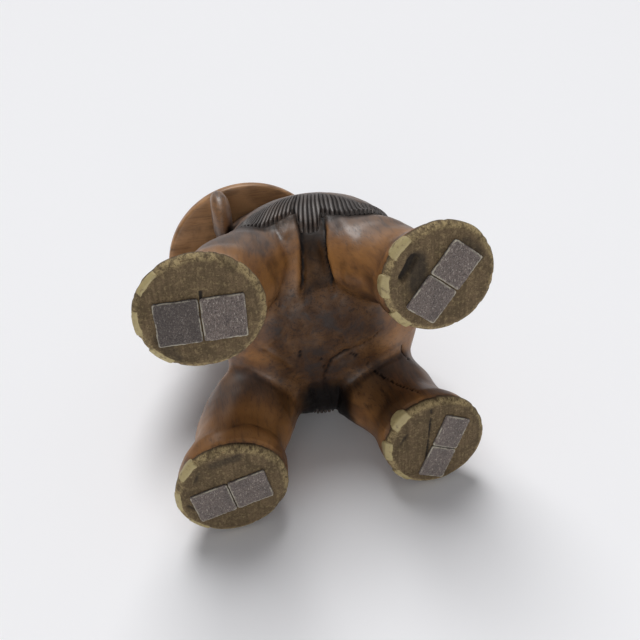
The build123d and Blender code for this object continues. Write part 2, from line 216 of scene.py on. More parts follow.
def points_of(mesh):
    flat = np.empty(len(mesh.vertices) * 3)
    mesh.vertices.foreach_get("co", flat)
    return flat.reshape(-1, 3)


def normals_of(mesh):
    flat = np.empty(len(mesh.vertices) * 3)
    mesh.vertex_normals.foreach_get("vector", flat)
    return flat.reshape(-1, 3)


def set_points(mesh, points):
    mesh.vertices.foreach_set("co", points.reshape(-1))
    mesh.update()


def set_attribute(mesh, name, values):
    layer = mesh.attributes.get(name) or mesh.attributes.new(name, "FLOAT", "POINT")
    layer.data.foreach_set("value", np.asarray(values, dtype=np.float32))


def edge_pairs(mesh):
    flat = np.empty(len(mesh.edges) * 2, dtype=np.int64)
    mesh.edges.foreach_get("vertices", flat)
    return flat.reshape(-1, 2)


def neighbour_mean(values, pairs):
    count = len(values)
    a, b = pairs[:, 0], pairs[:, 1]
    share = np.bincount(a, minlength=count) + np.bincount(b, minlength=count)
    if values.ndim == 1:
        total = np.bincount(a, values[b], count) + np.bincount(b, values[a], count)
        return total / np.maximum(share, 1)
    columns = [np.bincount(a, values[b, i], count) + np.bincount(b, values[a, i], count) for i in range(3)]
    return np.stack(columns, axis=1) / np.maximum(share, 1)[:, None]


def relax(values, pairs, rounds, weight=0.5):
    """Smooths points or a painted value over a mesh. weight may differ from vertex to vertex."""
    if isinstance(weight, np.ndarray) and values.ndim == 2:
        weight = weight[:, None]
    for _ in range(rounds):
        values = values + (neighbour_mean(values, pairs) - values) * weight
    return values


def blend(points, pairs, rounds, weight):
    """Smooths as relax does, but gives back what each round takes off, so that limbs stay as thick."""
    for _ in range(rounds):
        points = relax(points, pairs, 1, weight * 0.5)
        points = relax(points, pairs, 1, weight * -0.515)
    return points


def smooth_step(low, high, values):
    share = np.clip((values - low) / (high - low), 0, 1)
    return share * share * (3 - 2 * share)


def line_distance(points, line):
    """Distance from each point to a line of straight stretches, and how far along it the nearest place is."""
    best = np.full(len(points), 1e9)
    along = np.zeros(len(points))
    done = 0.0
    for start, end in zip(line[:-1], line[1:]):
        step = end - start
        length = np.linalg.norm(step)
        share = np.clip((points - start) @ step / length ** 2, 0, 1)
        away = np.linalg.norm(points - (start + share[:, None] * step), axis=1)
        nearer = away < best
        best[nearer] = away[nearer]
        along[nearer] = done + share[nearer] * length
        done += length
    return best, along / done


def on_surface(line, surface, step=0.005):
    """The line in short steps, each laid on the nearest place of a surface."""
    laid = [line[0]]
    for start, end in zip(line[:-1], line[1:]):
        steps = max(1, round(np.linalg.norm(end - start) / step))
        laid += [start + (end - start) * index / steps for index in range(1, steps + 1)]
    return np.array([surface.find_nearest(Vector(place))[0] for place in laid])


def rough(points, size, seed=0, octaves=3):
    """Even noise from -1 to 1 at the points, size in metres."""
    shift = Vector((seed * 7.3, seed * 3.1, seed * 5.7))
    return np.array([noise.fractal(Vector(p) / size + shift, 1.0, 2.0, octaves) for p in points])


def turned(profile, steps):
    """A closed shape turned about Z from a section of radii and heights that starts and ends on the axis."""
    bm = bmesh.new()
    verts = [bm.verts.new((radius, 0, height)) for radius, height in profile]
    edges = [bm.edges.new(pair) for pair in zip(verts[:-1], verts[1:])]
    bmesh.ops.spin(bm, geom=verts + edges, cent=(0, 0, 0), axis=(0, 0, 1), angle=2 * math.pi, steps=steps,
                   use_merge=True)
    bmesh.ops.remove_doubles(bm, verts=bm.verts, dist=SAME_POINT)
    return bm


def voxel_mesh(obj, size):
    """The object's mesh, rebuilt as one closed even skin."""
    remesh = obj.modifiers.new("Voxels", "REMESH")
    remesh.mode = "VOXEL"
    remesh.voxel_size = size
    remesh.use_smooth_shade = True
    graph = bpy.context.evaluated_depsgraph_get()
    mesh = bpy.data.meshes.new_from_object(obj.evaluated_get(graph))
    obj.modifiers.clear()
    obj.data = mesh
    return mesh


# ---------------------------------------------------------------- nodes

def feed(node, inputs):
    """inputs maps a socket's name or number to its value or to the socket that it takes its value from."""
    for key, value in inputs.items():
        socket = node.inputs[key]
        if isinstance(value, bpy.types.NodeSocket):
            node.id_data.links.new(value, socket)
        else:
            socket.default_value = value


def add_node(tree, kind, inputs=None, **settings):
    """Adds a node with its settings, its values and its links."""
    node = tree.nodes.new(kind)
    for key, value in settings.items():
        setattr(node, key, value)
    feed(node, inputs or {})
    return node


def new_material(name):
    material = bpy.data.materials.new(name)
    material.use_nodes = True
    tree = material.node_tree
    tree.nodes.clear()
    shader = add_node(tree, "ShaderNodeBsdfPrincipled")
    add_node(tree, "ShaderNodeOutputMaterial", {"Surface": shader.outputs[0]})
    return material, tree, shader


def pattern(tree, size, stretch=(1, 1, 1), turn=(0, 0, 0), detail=2.0, roughness=0.5, distortion=0.0):
    """Soft noise with swirls of a size in millimetres, drawn out along the axes whose stretch is below 1."""
    place = add_node(tree, "ShaderNodeTexCoord").outputs["Object"]
    laid = add_node(tree, "ShaderNodeMapping", {"Vector": place, "Scale": stretch, "Rotation": turn})
    inputs = {
        "Vector": laid.outputs[0], "Scale": 1 / (size * MM), "Detail": detail, "Roughness": roughness,
        "Distortion": distortion,
    }
    return add_node(tree, "ShaderNodeTexNoise", inputs).outputs[0]


def lay(tree, under, value, low, high, over, start=0.0, full=1.0, within=None):
    """Lays a colour over another: the share start of it where a value is low, the share full where high.

    within is a painted value that keeps the colour to its own places.
    """
    steps = {0: value, 1: low, 2: high, 3: start, 4: full}
    share = add_node(tree, "ShaderNodeMapRange", steps, interpolation_type="SMOOTHSTEP").outputs[0]
    if within is not None:
        share = add_node(tree, "ShaderNodeMath", {0: within, 1: share}, operation="MULTIPLY").outputs[0]
    return add_node(tree, "ShaderNodeMix", {0: share, 6: under, 7: over}, data_type="RGBA").outputs[2]


# ---------------------------------------------------------------- finishes

def wood_material(name, tones, colours, grain):
    """Stained and waxed hardwood, hand carved: streaky brown with worn orange highs and a soft wax gloss. Its
    vertex values also lay painted shade, painted light and a painted grey sheen.
    """
    material, tree, shader = new_material(name)
    light, mid, deep = tones
    # the stain's streaks, ten times as long along the grain
    streaks = pattern(tree, 16.67, grain, detail=6, roughness=0.6, distortion=0.6)
    # stain that took unevenly, in patches of 40 to 50 mm
    patches = pattern(tree, 47.62, (1, 1, 0.5), detail=4, roughness=0.55, distortion=0.4)
    # fine dark lines of the grain
    lines = pattern(tree, 4.762, grain, detail=3, roughness=0.6, distortion=0.3)
    # pores, drawn wider than they are so that they show
    pores = pattern(tree, 1.613, grain)
    worn = add_node(tree, "ShaderNodeAttribute", attribute_name="worn").outputs["Fac"]
    dark = add_node(tree, "ShaderNodeAttribute", attribute_name="dark").outputs["Fac"]
    sheen_and_grey_stain = add_node(tree, "ShaderNodeAttribute", attribute_name="sheen_and_grey_stain").outputs["Fac"]
    colour = lay(tree, deep, streaks, 0.38, 0.57, mid)
    colour = lay(tree, colour, patches, 0.4, 0.68, light, full=0.72)
    colour = lay(tree, colour, lines, 0.52, 0.64, deep, full=0.62)
    colour = lay(tree, colour, pores, 0.56, 0.68, deep, full=0.6)
    colour = lay(tree, colour, patches, 0.36, 0.6, light, start=0.22, within=worn)
    # grey stain and a painted grey sheen
    colour = lay(tree, colour, streaks, 0.3, 0.6, colours.sheen_and_stain_grey, start=0.7, within=sheen_and_grey_stain)
    # the edge of the dark stain and the painted shade follows the streaks
    sway = add_node(tree, "ShaderNodeMath", {0: streaks, 1: 0.5}, operation="SUBTRACT").outputs[0]
    edge_inputs = {0: sway, 1: 0.35, 2: dark}
    edge = add_node(tree, "ShaderNodeMath", edge_inputs, operation="MULTIPLY_ADD").outputs[0]
    smooth = {"interpolation_type": "SMOOTHSTEP"}
    sooty_steps = {0: edge, 1: 0.05, 2: 0.95, 3: 0.0, 4: 1.0}
    stain_and_shade_share = add_node(tree, "ShaderNodeMapRange", sooty_steps, **smooth).outputs[0]
    layers = {0: stain_and_shade_share, 6: colour, 7: colours.stain_and_shade}
    colour = add_node(tree, "ShaderNodeMix", layers, data_type="RGBA").outputs[2]
    # the dark stain and the painted shade take the shine off the wax in the hollows, and the streaks are a
    # little duller than the rest
    finishes = {
        "Specular IOR Level": {0: stain_and_shade_share, 1: 0.2, 2: 0.8, 3: 0.5, 4: 0.12},
        "Coat Weight": {0: stain_and_shade_share, 1: 0.0, 2: 0.7, 3: 0.1, 4: 0.0},
        "Roughness": {0: streaks, 1: 0.3, 2: 0.7, 3: 0.4, 4: 0.56},
    }
    for socket, steps in finishes.items():
        feed(shader, {socket: add_node(tree, "ShaderNodeMapRange", steps, **smooth).outputs[0]})
    # the grain stands a little proud of the pores
    sunk_steps = {0: pores, 1: 0.56, 2: 0.68, 3: 0.0, 4: -0.6}
    sunk = add_node(tree, "ShaderNodeMapRange", sunk_steps, **smooth).outputs[0]
    height_inputs = {0: streaks, 1: 0.6, 2: sunk}
    height = add_node(tree, "ShaderNodeMath", height_inputs, operation="MULTIPLY_ADD").outputs[0]
    bump = add_node(tree, "ShaderNodeBump", {"Height": height, "Strength": 0.35, "Distance": 0.0006})
    feed(shader, {"Base Color": colour, "IOR": 1.5, "Coat Roughness": 0.32, "Normal": bump.outputs[0]})
    return material


def end_grain_material(name, colours):
    """Bare sawn end grain: dull olive and yellow-brown, full of dark specks, paler on the bevelled rim."""
    material, tree, shader = new_material(name)
    flat = (1, 1, 0.2)
    clouds = pattern(tree, 18.18, flat, detail=5, roughness=0.65, distortion=0.8)
    # saw fuzz and dirt in specks of 1 to 2 mm, and torn fibres of 4 mm
    specks = pattern(tree, 1.316, flat, detail=3, roughness=0.7)
    coarse = pattern(tree, 3.846, flat, detail=4, roughness=0.7)
    # marks of the saw, 3 mm apart
    saw = pattern(tree, 3.333, (1, 0.06, 1), (0, 0, 0.5), detail=3, roughness=0.6)
    rim = add_node(tree, "ShaderNodeAttribute", attribute_name="rim").outputs["Fac"]
    dark = add_node(tree, "ShaderNodeAttribute", attribute_name="dark").outputs["Fac"]
    colour = lay(tree, colours.sole_dark, clouds, 0.34, 0.6, colours.sole_mid, start=0.4)
    colour = lay(tree, colour, coarse, 0.48, 0.7, colours.sole_light, full=0.4)
    colour = lay(tree, colour, saw, 0.45, 0.65, colours.sole_dark, full=0.4)
    # the rim is pale in stretches
    steps = {0: clouds, 1: 0.38, 2: 0.56, 3: 0.3, 4: 1.0}
    stretches = add_node(tree, "ShaderNodeMapRange", steps, interpolation_type="SMOOTHSTEP").outputs[0]
    pale = add_node(tree, "ShaderNodeMath", {0: rim, 1: stretches}, operation="MULTIPLY").outputs[0]
    colour = lay(tree, colour, coarse, 0.34, 0.56, colours.sole_light, within=pale)
    colour = lay(tree, colour, specks, 0.5, 0.66, colours.sole_dark, full=0.75)
    layers = {0: dark, 6: colour, 7: colours.stain_and_shade}
    colour = add_node(tree, "ShaderNodeMix", layers, data_type="RGBA").outputs[2]
    height_inputs = {0: specks, 1: 0.5, 2: coarse}
    height = add_node(tree, "ShaderNodeMath", height_inputs, operation="MULTIPLY_ADD").outputs[0]
    bump = add_node(tree, "ShaderNodeBump", {"Height": height, "Strength": 0.6, "Distance": 0.001})
    feed(shader, {"Base Color": colour, "Roughness": 0.85, "IOR": 1.45, "Normal": bump.outputs[0]})
    return material


def inlay_material(name, colours):
    """Pale close-grained wood, sanded and grimy: cream with brown dirt along its edges and fine streaks."""
    material, tree, shader = new_material(name)
    streaks = pattern(tree, 2.0, (1, 1, 0.15), detail=4, roughness=0.6)
    dirt = pattern(tree, 5.882, detail=5, roughness=0.7)
    edge = add_node(tree, "ShaderNodeAttribute", attribute_name="edge").outputs["Fac"]
    colour = lay(tree, colours.inlay, streaks, 0.35, 0.65, hex_colour("#A39067"), full=0.5)
    steps = {0: dirt, 1: 0.52, 2: 0.7, 3: 0.0, 4: 0.7}
    spots = add_node(tree, "ShaderNodeMapRange", steps, interpolation_type="SMOOTHSTEP").outputs[0]
    grime = add_node(tree, "ShaderNodeMath", {0: edge, 1: 0.9, 2: spots}, operation="MULTIPLY_ADD").outputs[0]
    layers = {0: grime, 6: colour, 7: hex_colour("#54402A")}
    colour = add_node(tree, "ShaderNodeMix", layers, data_type="RGBA").outputs[2]
    bump = add_node(tree, "ShaderNodeBump", {"Height": streaks, "Strength": 0.3, "Distance": 0.0004})
    feed(shader, {"Base Color": colour, "Roughness": 0.55, "IOR": 1.5, "Normal": bump.outputs[0]})
    return material


def felt_material(name, colours, soiled):
    """Pressed wool felt in mixed greys and mauves: fuzzy, fully matt, flecked with pale fibres."""
    material, tree, shader = new_material(name)
    # fibres are drawn 1 mm wide, coarser than they are, so that they show
    fibres = pattern(tree, 1.5625, detail=4, roughness=0.75, distortion=1.5)
    flecks = pattern(tree, 1.111, (1, 0.45, 1), (0, 0, 0.7), roughness=0.6, distortion=1.0)
    wear = pattern(tree, 14.286, detail=4, roughness=0.6)
    edge = add_node(tree, "ShaderNodeAttribute", attribute_name="edge").outputs["Fac"]
    colour = lay(tree, hex_colour("#4C4240"), fibres, 0.38, 0.62, colours.felt)
    colour = lay(tree, colour, flecks, 0.56, 0.68, hex_colour("#BDB2A8"), full=0.8)
    colour = lay(
        tree, colour, wear, 0.4 - soiled * 0.3, 0.7 - soiled * 0.2, hex_colour("#2B2726"),
        start=0.05 + soiled * 0.6, full=0.35 + soiled * 0.45,
    )
    # the cut edges fray in places
    colour = lay(tree, colour, wear, 0.42, 0.56, hex_colour("#B7B09E"), within=edge)
    bump = add_node(tree, "ShaderNodeBump", {"Height": fibres, "Strength": 0.8, "Distance": 0.0012})
    feed(shader, {"Base Color": colour, "Roughness": 1.0, "Normal": bump.outputs[0]})
    feed(shader, {"Sheen Weight": 0.25, "Sheen Roughness": 0.6, "Specular IOR Level": 0.15})
    return material


def close_grained_material(name, deep, pale, size, stretch, detail, roughness):
    """A plain close-grained wood: fine streaks between two tones, glossy when its roughness is low."""
    material, tree, shader = new_material(name)
    grain = pattern(tree, size, stretch, detail=detail)
    layers = {0: grain, 6: hex_colour(deep), 7: hex_colour(pale)}
    colour = add_node(tree, "ShaderNodeMix", layers, data_type="RGBA").outputs[2]
    feed(shader, {"Base Color": colour, "Roughness": roughness})
    return material


# ---------------------------------------------------------------- the carved block

# The blanket's hem over the left flank, from front to back: (x, lower end of the strands, upper end), mm.
HEM_LOW = [
    (88, 180), (72, 173), (60, 170), (47, 165), (31, 157), (16, 153), (-1, 154), (-16, 156), (-18, 137),
    (-26, 131), (-34, 131), (-39, 136), (-44, 149), (-52, 147), (-63, 143), (-77, 137), (-91, 134),
    (-107, 143), (-127, 160), (-140, 176),
]
HEM_HIGH = [
    (70, 202), (44, 205), (32, 201), (18, 198), (3, 202), (-13, 210), (-26, 214), (-37, 214), (-57, 206),
    (-74, 189), (-84, 178), (-96, 170), (-121, 178), (-145, 188),
]

# the height at which a strand of the fringe is named by its X, metres
LEAN_LEVEL = 0.16
# how far ahead of its head a strand's foot lies, as a share of its height: upright at the rump, slanted ahead
LEAN_PLACES = (-0.13, -0.08, -0.02, 0.03, 0.09)
LEANS = (-0.05, 0.08, 0.27, 0.6, 0.9)


def lean_of(strand):
    return np.interp(strand, LEAN_PLACES, LEANS)


def strand_of(x, z):
    """Where the leaning strand through x and z crosses LEAN_LEVEL."""
    strand = x
    for _ in range(8):
        strand = x + lean_of(strand) * (z - LEAN_LEVEL)
    return strand


def height_of(line, strand):
    """The height at which a strand crosses a line, in metres."""
    rows = np.array(line[::-1]) * MM
    return np.interp(strand, strand_of(rows[:, 0], rows[:, 1]), rows[:, 1])


def block_base():
    """The solid of the carved block, with its nail pockets filled to a shallow bed."""
    bm = bmesh.new()
    bm.from_mesh(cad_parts["body"].data)
    for name in NAILS:
        foot = name[len("toenail_"):-2]
        nail = solid_of(name)
        middle = sum((v.co for v in nail.verts), Vector()) / len(nail.verts)
        outward = Vector((middle.x - SOLES[foot][0], middle.y - SOLES[foot][1], 0)).normalized()
        bmesh.ops.translate(nail, verts=nail.verts, vec=-middle)
        bmesh.ops.scale(nail, verts=nail.verts, vec=(1.06, 1.06, 1.04))
        bmesh.ops.translate(nail, verts=nail.verts, vec=middle - outward * 0.0022)
        mesh = mesh_from("bed", nail)
        bm.from_mesh(mesh)
        bpy.data.meshes.remove(mesh)
    bmesh.ops.remove_doubles(bm, verts=bm.verts, dist=SAME_CAD_POINT)
    return link("carved_block", mesh_from("carved_block", bm))


# Where a change to the block begins and where it is full, in metres. FORE is along X, LEFT along Y, SIDE away
# from the middle plane and HIGH up; the last ones are shares of a unit normal, of shade and of a bulge.
HEAD_FORE, HEAD_HIGH = (0.07, 0.09), (0.15, 0.17)
EAR_SIDE, EAR_HIGH = (0.085, 0.095), (0.23, 0.25)
TAIL_SIDE, TAIL_FORE = (0.026, 0.016), (-0.13, -0.145)
FREE_OF_SOLE_HIGH = (0.012, 0.06)
JOIN_HIGH_FROM, JOIN_HIGH_TO, JOIN_LEFT = (0.07, 0.09), (0.19, 0.16), (0.05, -0.02)
FOOT_HIGH = (0.008, 0.02)
RUMP_FORE, RUMP_SIDE = (-0.1, -0.165), (0.12, 0.09)
RUMP_HIGH_FROM, RUMP_HIGH_TO = (0.085, 0.115), (0.32, 0.26)
BLANKET_FORE_FROM, BLANKET_FORE_TO, BLANKET_SIDE = (-0.140, -0.134), (0.084, 0.078), (0.058, 0.066)
ABOVE_LINE, BELOW_LINE = (-0.001, 0.003), (0.001, -0.003)
STRIP_HIGH_FROM, STRIP_HIGH_TO = (0.092, 0.1), (0.2, 0.19)
STRIP_SIDE, STRIP_LEFT = (0.03, 0.05), (-0.01, 0.03)
SWELL_AROUND_FOOT, SWELL_HIGH_FROM, SWELL_HIGH_TO = (0.1, 0.08), (0.012, 0.03), (0.12, 0.07)
OUTER_HIGH_FROM, OUTER_HIGH_TO = (0.07, 0.1), (0.165, 0.14)
FRONT_LEG_FORE, REAR_LEG_FORE = (0.01, 0.035), (-0.06, -0.075)
BELLY_CUT_HIGH_FROM, BELLY_CUT_HIGH_TO = (0.08, 0.085), (0.125, 0.1)
HAND_CUT_HIGH = (0.012, 0.03)
TRUNK_FORE, TRUNK_HIGH, TRUNK_SIDE = (0.128, 0.136), (0.255, 0.235), (0.036, 0.03)
BELLY_HIGH, BELLY_SIDE, BELLY_SPAN, BELLY_MIDDLE = (0.14, 0.1), (0.1, 0.06), (0.095, 0.05), 0.03
FLANK_SHADE_AND_STAIN_LEFT, FLANK_SHADE_AND_STAIN_SPAN, FLANK_SHADE_AND_STAIN_HIGH, FLANK_SHADE_AND_STAIN_MIDDLE = (-0.01, -0.085), (0.062, 0.014), (0.06, 0.09), 0.026
LEG_HIGH_FROM, LEG_HIGH_TO, CREASE_HIGH = (0.02, 0.05), (0.165, 0.12), (0.02, 0.04)
GREY_UNDER_HEM, GREY_OVER_FRINGE = (-0.02, 0.0), (0.0, 0.04)
GREY_SIDE, LIT_SIDE_HIGH = (0.06, 0.075), (0.05, 0.1)
HEM_SHADE_UNDER, HEM_SHADE_OVER, HEM_SHADE_SIDE = (-0.02, -0.004), (0.02, 0.0), (0.05, 0.065)
HEM_SHADE_FORE_FROM, HEM_SHADE_FORE_TO = (-0.14, -0.12), (0.09, 0.075)
FACING_OUT, FACING_IN, FACING_DOWN = (0.3, 0.75), (0.35, -0.2), (0.45, 0.85)
FACING_LIGHT_SHEEN, FACING_LIGHT_DIMMED = (0.5, 0.95), (0.5, 0.9)
SHADE_THAT_DARKENS = (0.34, 0.68)
HOLLOW_THAT_DARKENS, BULGE_THAT_WEARS = (0.00003, 0.00022), (-0.00002, 0.00012)

# the edges of the bare strip of flank between the legs: heights, and X at each height
STRIP_FRONT_EDGE = ((0.095, 0.115, 0.138, 0.186), (-0.005, -0.013, -0.018, -0.027))
STRIP_REAR_EDGE = ((0.096, 0.102, 0.117, 0.168), (-0.042, -0.038, -0.040, -0.051))

# the face, on its left side, millimetres
BROW = ((120, 20, 312), (132, 26, 306), (142, 32, 296))
MOUTH = ((112, 24, 226), (126, 22, 219), (139, 16, 214), (146, 8, 208))
DOME = (128, 17, 330)
LID_RADIUS = 0.0095
LID_FOLD_RADIUS = 0.0145


def ramp(values, *edges):
    """Share from 0 to 1 for each value. An edge is a pair: where the share is 0 and where it is 1."""
    share = 1.0
    for start, full in edges:
        share = share * smooth_step(start, full, values)
    return share


def sunk_at_soles(points):
    """Draws the foot of the block in, under the end-grain pieces."""
    points = points.copy()
    foot_height, foot_reach = 0.013, 0.075
    wall, bed, rim_bed = 0.0016, 0.0095, 0.0012
    for x, y, radius_x, radius_y in SOLES.values():
        low = (points[:, 2] < foot_height) & (np.hypot(points[:, 0] - x, points[:, 1] - y) < foot_reach)
        near = points[low]
        away = np.hypot((near[:, 0] - x) / radius_x, (near[:, 1] - y) / radius_y)
        limit = 1 - wall / radius_x - smooth_step(foot_height, 0.006, near[:, 2]) * 0.04
        pull = np.minimum(limit / np.maximum(away, 1e-6), 1.0)
        near[:, 0] = x + (near[:, 0] - x) * pull
        near[:, 1] = y + (near[:, 1] - y) * pull
        near[:, 2] = np.maximum(near[:, 2], SOLE_Z + np.where(away < 0.94, bed, rim_bed))
        points[low] = near
    return points


def cut_lines(points, surface):
    """How far the tool lines push each point out, and how dark their stain is."""
    push = np.zeros(len(points))
    dark = np.zeros(len(points))
    for line, width, depth, stain, both in TOOL_LINES:
        path = np.array(line, dtype=float) * MM
        for mirror in ((1, -1) if both else (1,)):
            laid = on_surface(path * np.array([1, mirror, 1]), surface)
            reach = width * MM / 2
            near = np.all((points > laid.min(axis=0) - reach) & (points < laid.max(axis=0) + reach), axis=1)
            away, along = line_distance(points[near], laid)
            # a cut runs out over an eighth of its length at each end
            fade = np.clip(np.minimum(along, 1 - along) * 8 + 0.25, 0, 1)
            shape = np.clip(1 - away / reach, 0, 1)
            push[near] -= depth * MM * shape ** 1.5 * fade
            dark[near] = np.maximum(dark[near], stain * smooth_step(reach, 0, away) * fade)
    return push, dark


def leg_swell(x, y, z, normals):
    """How far the legs bulge over the foot and at the knee, the left ones on their inner side only."""
    swollen = np.zeros(len(x))
    swell, more_at_front_right = 0.0034, 0.0022
    for foot, (foot_x, foot_y, _, _) in SOLES.items():
        # the leg leans in, so its middle at the knee lies inside its foot
        near = ramp(np.hypot(x - foot_x * 0.93, y - foot_y * 0.95), SWELL_AROUND_FOOT)
        amount = swell + (more_at_front_right if foot == "front_right" else 0.0)
        if foot_y > 0:
            amount = amount * ramp(normals[:, 1], FACING_IN)
        swollen += amount * near * ramp(z, SWELL_HIGH_FROM, SWELL_HIGH_TO)
    return swollen


def carve(points, normals, sizes, surface):
    """Moves the points of the block as its carver cut it. Returns points and how dark each hollow is."""
    x, y, z = points.T
    side = np.abs(y)
    push, dark = cut_lines(points, surface)
    # the blanket lies a little proud; the fringe has its own cut piece, and the block is sunk under it
    strand = strand_of(x, z)
    low, high = height_of(HEM_LOW, strand), height_of(HEM_HIGH, strand)
    over = ramp(x, BLANKET_FORE_FROM, BLANKET_FORE_TO)
    push += sizes.blanket_height * over * ramp(z - high, ABOVE_LINE)
    push -= 0.0026 * ramp(z - low, ABOVE_LINE) * ramp(z - high, BELOW_LINE) * over * ramp(side, BLANKET_SIDE)
    # the bare strip of flank between the legs is cut back between its creases
    strip = ramp(x - np.interp(z, *STRIP_FRONT_EDGE), BELOW_LINE)
    strip *= ramp(x - np.interp(z, *STRIP_REAR_EDGE), ABOVE_LINE)
    strip *= ramp(z, STRIP_HIGH_FROM, STRIP_HIGH_TO) * ramp(side, STRIP_SIDE)
    push -= 0.0016 * strip
    dark = np.maximum(dark, 0.7 * strip * ramp(y, STRIP_LEFT))
    # the legs bulge, and their outer side is flatter, under the fringe
    push += leg_swell(x, y, z, normals)
    outer = ramp(normals[:, 1] * np.sign(y), FACING_OUT) * ramp(z, OUTER_HIGH_FROM, OUTER_HIGH_TO)
    push -= 0.0034 * outer * np.maximum(ramp(x, FRONT_LEG_FORE), ramp(x, REAR_LEG_FORE))
    # the belly is cut flatter than a barrel
    push -= 0.004 * ramp(-normals[:, 2], FACING_DOWN) * ramp(z, BELLY_CUT_HIGH_TO, BELLY_CUT_HIGH_FROM)
    # hand-cut unevenness: gouge facets about 16 mm across, and broader lumps
    lumps = rough(points, 0.045, 1) * 0.0011 + rough(points, 0.016, 2, 2) * 0.00035
    push += lumps * ramp(z, HAND_CUT_HIGH)
    # the trunk's rings, which sag a little at its middle
    trunk = ramp(x, TRUNK_FORE) * ramp(z, TRUNK_HIGH) * ramp(side, TRUNK_SIDE)
    ring_pitch = 0.0075
    rings = np.abs((z / ring_pitch + 0.35 * np.sin(side * 90)) % 1.0 - 0.5) * 2
    push -= trunk * 0.0011 * smooth_step(0.45, 1.0, rings)
    dark = np.maximum(dark, trunk * 0.55 * smooth_step(0.6, 1.0, rings))
    return points + normals * push[:, None], dark


def head_carving(points, normals):
    """Cuts the eyes' lids, the brow and the mouth and raises the domes. Returns points and darkness."""
    push = np.zeros(len(points))
    dark = np.zeros(len(points))
    for side, word in ((1, "left"), (-1, "right")):
        low, high = (np.array(corner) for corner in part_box(f"eye_{word}"))
        away = np.linalg.norm(points - (low + high) / 2, axis=1)
        push += 0.0016 * smooth_step(0.004, 0.001, np.abs(away - LID_RADIUS))
        push -= 0.0012 * smooth_step(0.0035, 0.001, np.abs(away - LID_FOLD_RADIUS))
        dark = np.maximum(dark, 0.7 * smooth_step(0.009, 0.006, away))
        dark = np.maximum(dark, 0.5 * smooth_step(0.003, 0.0, np.abs(away - LID_FOLD_RADIUS)))
        brow, mouth, dome = (np.array(line) * MM * [1, side, 1] for line in (BROW, MOUTH, DOME))
        push += 0.0022 * smooth_step(0.009, 0.0, line_distance(points, brow)[0])
        away = line_distance(points, mouth)[0]
        push -= 0.0022 * smooth_step(0.0045, 0.0, away)
        dark = np.maximum(dark, 0.8 * smooth_step(0.004, 0.0, away))
        push += 0.003 * smooth_step(0.026, 0.0, np.linalg.norm(points - dome, axis=1))
    return points + normals * push[:, None], dark


def shade_of(mesh, points, normals, seat, rays):
    """How shut in each vertex is, from 0 in the open to 1, by short sight lines to the block and the seat."""
    tree = BVHTree.FromPolygons(
        [Vector(p) for p in points], [tuple(polygon.vertices) for polygon in mesh.polygons]
    )
    golden = math.pi * (3 - math.sqrt(5))
    fan = []
    for index in range(rays):
        up = 0.12 + 0.86 * (index + 0.5) / rays
        flat = math.sqrt(1 - up * up)
        fan.append((flat * math.cos(golden * index), flat * math.sin(golden * index), up))
    reach = 0.11
    shut = np.zeros(len(points))
    for index, (point, normal) in enumerate(zip(points, normals)):
        normal = Vector(normal)
        across = normal.orthogonal().normalized()
        along = normal.cross(across)
        start = Vector(point) + normal * 0.001
        total = 0.0
        for a, b, up in fan:
            way = across * a + along * b + normal * up
            hit = tree.ray_cast(start, way, reach)[3]
            if hit is None:
                hit = seat.ray_cast(start, way, reach)[3]
            if hit is not None:
                total += 1 - hit / reach
        shut[index] = total / rays
    return shut


def surface_tree(mesh):
    """The surface of a mesh, ready for sight lines and nearest places."""
    bm = bmesh.new()
    bm.from_mesh(mesh)
    tree = BVHTree.FromBMesh(bm)
    bm.free()
    return tree


def needs_fine_mesh(co):
    """True on the ringed trunk and on the face, where the block needs a finer mesh."""
    ringed = co.x > 0.128 and co.z < 0.25 and abs(co.y) < 0.036
    face = co.x > 0.1 and abs(co.y) < 0.05 and 0.2 < co.z < 0.33
    return ringed or face


